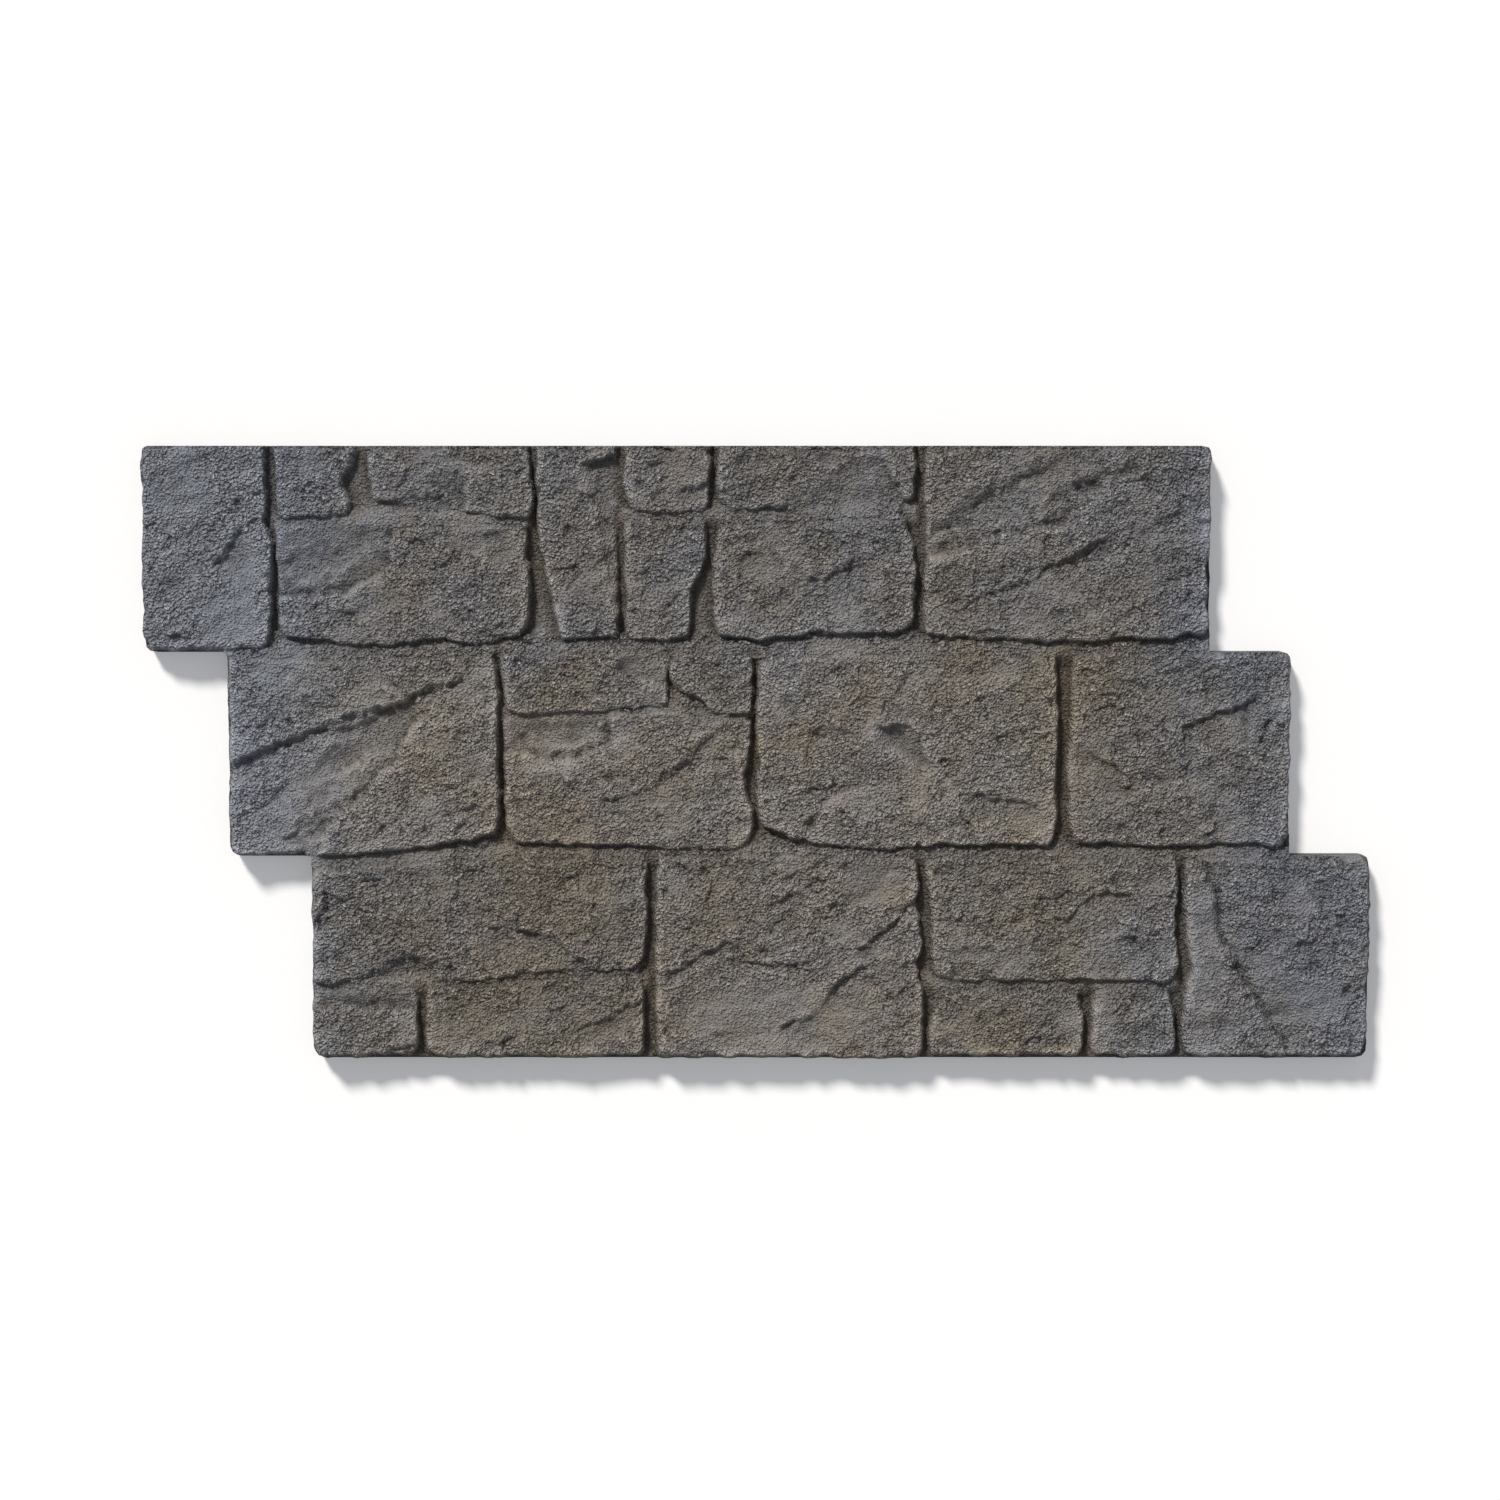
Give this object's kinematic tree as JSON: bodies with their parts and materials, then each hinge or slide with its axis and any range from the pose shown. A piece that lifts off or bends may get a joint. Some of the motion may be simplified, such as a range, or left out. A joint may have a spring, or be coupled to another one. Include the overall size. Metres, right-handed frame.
{
  "type": "faux stone wall panel",
  "caption": "Moulded wall cladding panel that imitates coursed, rough-cleft stone, with a flat back and stepped ends that interlock with the next panel.",
  "frame": {"origin": "centre of the panel's outline, on the plane of its flat back", "axes": "+X along the courses to the right, +Y up the wall, +Z out of the wall through the stone face"},
  "size_m": [1.2, 0.6, 0.0355],
  "materials": {
    "cast_stone_finish": "matte"
  },
  "bodies": {
    "root": {"stone_panel": "cast_stone_finish"}
  },
  "joints": []
}
